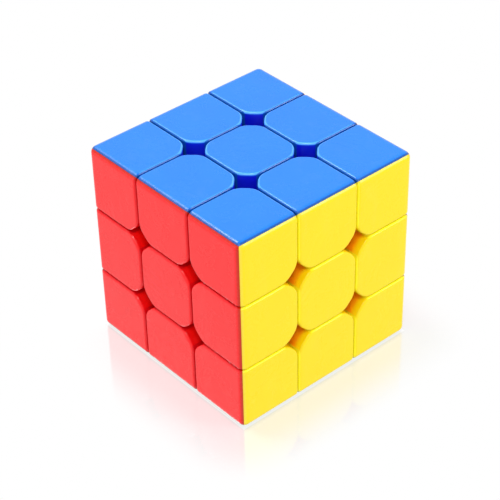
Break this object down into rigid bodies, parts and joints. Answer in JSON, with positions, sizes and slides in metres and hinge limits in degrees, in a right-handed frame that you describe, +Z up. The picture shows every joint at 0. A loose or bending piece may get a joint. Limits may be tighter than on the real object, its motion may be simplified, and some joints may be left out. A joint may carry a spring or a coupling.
{
  "type": "twisty puzzle cube",
  "caption": "Stickerless twisty puzzle cube whose layers of hollow coloured corner, edge and centre pieces turn about a sprung inner core.",
  "frame": {"origin": "centre of the core, where the six turning axes meet, which is the centre of the cube", "axes": "+Z up through the blue face, -Y out of the red face (front), +X out of the yellow face (right)"},
  "size_m": [0.056, 0.056, 0.056],
  "materials": {
    "blue_plastic": "gloss",
    "red_plastic": "gloss",
    "yellow_plastic": "gloss",
    "green_plastic": "gloss",
    "orange_plastic": "gloss",
    "white_plastic": "gloss",
    "core_plastic": "matte",
    "steel": "satin",
    "spring_steel": "satin"
  },
  "bodies": {
    "core": {"core_spindle": "core_plastic", "tension_screws": "steel", "screw_washers": "steel", "top_spring": "spring_steel", "bottom_spring": "spring_steel", "front_spring": "spring_steel", "back_spring": "spring_steel", "left_spring": "spring_steel", "right_spring": "spring_steel", "middle_edge_front_shells": "red_plastic", "middle_edge_back_shells": "orange_plastic", "middle_edge_left_shells": "white_plastic", "middle_edge_right_shells": "yellow_plastic", "middle_edge_feet": "core_plastic"},
    "top_layer": {"top_corner_top_shells": "blue_plastic", "top_edge_top_shells": "blue_plastic", "top_corner_feet": "core_plastic", "top_edge_feet": "core_plastic", "top_front_left_corner_front_shell": "red_plastic", "top_front_left_corner_left_shell": "white_plastic", "top_front_right_corner_front_shell": "red_plastic", "top_front_right_corner_right_shell": "yellow_plastic", "top_back_left_corner_back_shell": "orange_plastic", "top_back_left_corner_left_shell": "white_plastic", "top_back_right_corner_back_shell": "orange_plastic", "top_back_right_corner_right_shell": "yellow_plastic", "top_front_edge_front_shell": "red_plastic", "top_back_edge_back_shell": "orange_plastic", "top_left_edge_left_shell": "white_plastic", "top_right_edge_right_shell": "yellow_plastic"},
    "bottom_layer": {"bottom_corner_bottom_shells": "green_plastic", "bottom_edge_bottom_shells": "green_plastic", "bottom_corner_feet": "core_plastic", "bottom_edge_feet": "core_plastic", "bottom_front_left_corner_front_shell": "red_plastic", "bottom_front_left_corner_left_shell": "white_plastic", "bottom_front_right_corner_front_shell": "red_plastic", "bottom_front_right_corner_right_shell": "yellow_plastic", "bottom_back_left_corner_back_shell": "orange_plastic", "bottom_back_left_corner_left_shell": "white_plastic", "bottom_back_right_corner_back_shell": "orange_plastic", "bottom_back_right_corner_right_shell": "yellow_plastic", "bottom_front_edge_front_shell": "red_plastic", "bottom_back_edge_back_shell": "orange_plastic", "bottom_left_edge_left_shell": "white_plastic", "bottom_right_edge_right_shell": "yellow_plastic"},
    "top_centre": {"top_centre_cap": "blue_plastic", "top_centre_base": "blue_plastic"},
    "bottom_centre": {"bottom_centre_cap": "green_plastic", "bottom_centre_base": "green_plastic"},
    "front_centre": {"front_centre_cap": "red_plastic", "front_centre_base": "red_plastic"},
    "back_centre": {"back_centre_cap": "orange_plastic", "back_centre_base": "orange_plastic"},
    "left_centre": {"left_centre_cap": "white_plastic", "left_centre_base": "white_plastic"},
    "right_centre": {"right_centre_cap": "yellow_plastic", "right_centre_base": "yellow_plastic"}
  },
  "joints": [
    {"name": "top_layer_turn", "type": "hinge", "parent": "core", "child": "top_layer", "pos_m": [0, 0, 0], "axis": [0, 0, 1], "continuous": true},
    {"name": "bottom_layer_turn", "type": "hinge", "parent": "core", "child": "bottom_layer", "pos_m": [0, 0, 0], "axis": [0, 0, -1], "continuous": true},
    {"name": "top_centre_lift", "type": "slide", "parent": "top_layer", "child": "top_centre", "axis": [0, 0, 1], "range_m": [0, 0.0008], "stiffness_N_per_m": 1500, "springref_m": -0.001, "deforming": ["top_spring"]},
    {"name": "bottom_centre_lift", "type": "slide", "parent": "bottom_layer", "child": "bottom_centre", "axis": [0, 0, -1], "range_m": [0, 0.0008], "stiffness_N_per_m": 1500, "springref_m": -0.001, "deforming": ["bottom_spring"]},
    {"name": "front_centre_lift", "type": "slide", "parent": "core", "child": "front_centre", "axis": [0, -1, 0], "range_m": [0, 0.0008], "stiffness_N_per_m": 1500, "springref_m": -0.001, "deforming": ["front_spring"]},
    {"name": "back_centre_lift", "type": "slide", "parent": "core", "child": "back_centre", "axis": [0, 1, 0], "range_m": [0, 0.0008], "stiffness_N_per_m": 1500, "springref_m": -0.001, "deforming": ["back_spring"]},
    {"name": "left_centre_lift", "type": "slide", "parent": "core", "child": "left_centre", "axis": [-1, 0, 0], "range_m": [0, 0.0008], "stiffness_N_per_m": 1500, "springref_m": -0.001, "deforming": ["left_spring"]},
    {"name": "right_centre_lift", "type": "slide", "parent": "core", "child": "right_centre", "axis": [1, 0, 0], "range_m": [0, 0.0008], "stiffness_N_per_m": 1500, "springref_m": -0.001, "deforming": ["right_spring"]}
  ]
}
